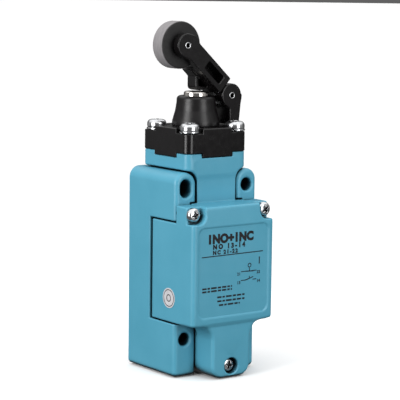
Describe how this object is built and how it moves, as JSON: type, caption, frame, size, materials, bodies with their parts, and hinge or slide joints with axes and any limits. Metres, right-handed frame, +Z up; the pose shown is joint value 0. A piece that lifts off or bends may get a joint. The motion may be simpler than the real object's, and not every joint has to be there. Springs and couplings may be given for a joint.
{
  "type": "limit switch",
  "caption": "Heavy-duty industrial limit switch with a two-part metal housing and a sprung top roller lever head.",
  "frame": {"origin": "middle of the flat back face, midway between the four mounting holes", "axes": "+X to the right of the front, +Y out of the back face, so the front faces -Y, +Z up towards the head and the roller"},
  "size_m": [0.0404, 0.0442, 0.1399],
  "materials": {
    "teal_paint": "satin powder coat on a die casting",
    "black_head": "satin black, finely textured",
    "roller_nylon": "satin black nylon",
    "black_rubber": "matt",
    "bright_zinc": "bright zinc plate",
    "nickel_plunger": "polished nickel plate",
    "spring_steel": "drawn wire",
    "black_moulding": "moulded thermoset",
    "white_plastic": "moulded",
    "contact_brass": "tumbled",
    "label_white": "printed film"
  },
  "bodies": {
    "housing": {"base_housing": "teal_paint", "block_screw_1": "bright_zinc", "block_screw_2": "bright_zinc", "body_gasket": "black_rubber", "contact_block": "black_moulding", "contact_block_cover": "black_moulding", "contact_spring": "spring_steel", "cover_screw_left": "bright_zinc", "cover_screw_lower": "bright_zinc", "cover_screw_right": "bright_zinc", "fixed_contact_13": "contact_brass", "fixed_contact_14": "contact_brass", "fixed_contact_21": "contact_brass", "fixed_contact_22": "contact_brass", "front_housing": "teal_paint", "ground_screw": "bright_zinc", "guide_turret": "black_head", "head_body": "black_head", "head_gasket": "black_rubber", "head_screw_1": "bright_zinc", "head_screw_2": "bright_zinc", "head_screw_3": "bright_zinc", "head_screw_4": "bright_zinc", "head_washer_1": "bright_zinc", "head_washer_2": "bright_zinc", "head_washer_3": "bright_zinc", "head_washer_4": "bright_zinc", "pivot_rivet": "bright_zinc", "plunger_seal": "black_rubber", "return_spring": "spring_steel", "side_label": "label_white", "spring_retainer": "bright_zinc", "terminal_screw_13": "bright_zinc", "terminal_screw_14": "bright_zinc", "terminal_screw_21": "bright_zinc", "terminal_screw_22": "bright_zinc", "wire_clamp_13": "bright_zinc", "wire_clamp_14": "bright_zinc", "wire_clamp_21": "bright_zinc", "wire_clamp_22": "bright_zinc"},
    "lever": {"lever": "black_head", "roller_rivet": "bright_zinc"},
    "roller": {"roller": "roller_nylon"},
    "plunger": {"plunger": "nickel_plunger"},
    "contact_carrier": {"contact_carrier": "white_plastic", "contact_bridge_closed": "contact_brass", "contact_bridge_open": "contact_brass"}
  },
  "joints": [
    {"name": "lever_hinge", "type": "hinge", "parent": "housing", "child": "lever", "pos_m": [0.0127, -0.01776, 0.0652], "axis": [0, -1, 0], "range_deg": [0, 11], "stiffness_Nm_per_rad": 0.35, "springref_deg": -28.65},
    {"name": "roller_spin", "type": "hinge", "parent": "lever", "child": "roller", "pos_m": [-0.0094, -0.01776, 0.0855], "axis": [0, -1, 0], "continuous": true},
    {"name": "plunger_slide", "type": "slide", "parent": "housing", "child": "plunger", "axis": [0, 0, -1], "range_m": [0, 0.0023], "stiffness_N_per_m": 20, "springref_m": -0.006, "deforming": ["return_spring"]},
    {"name": "carrier_slide", "type": "slide", "parent": "housing", "child": "contact_carrier", "axis": [0, 0, -1], "range_m": [0, 0.0023], "stiffness_N_per_m": 3, "springref_m": -0.004, "deforming": ["contact_spring"]}
  ],
  "couplings": [
    {"joint": "lever_hinge", "follows": "plunger_slide", "rad_per_m": 83.333},
    {"joint": "carrier_slide", "follows": "plunger_slide", "ratio": 1}
  ]
}
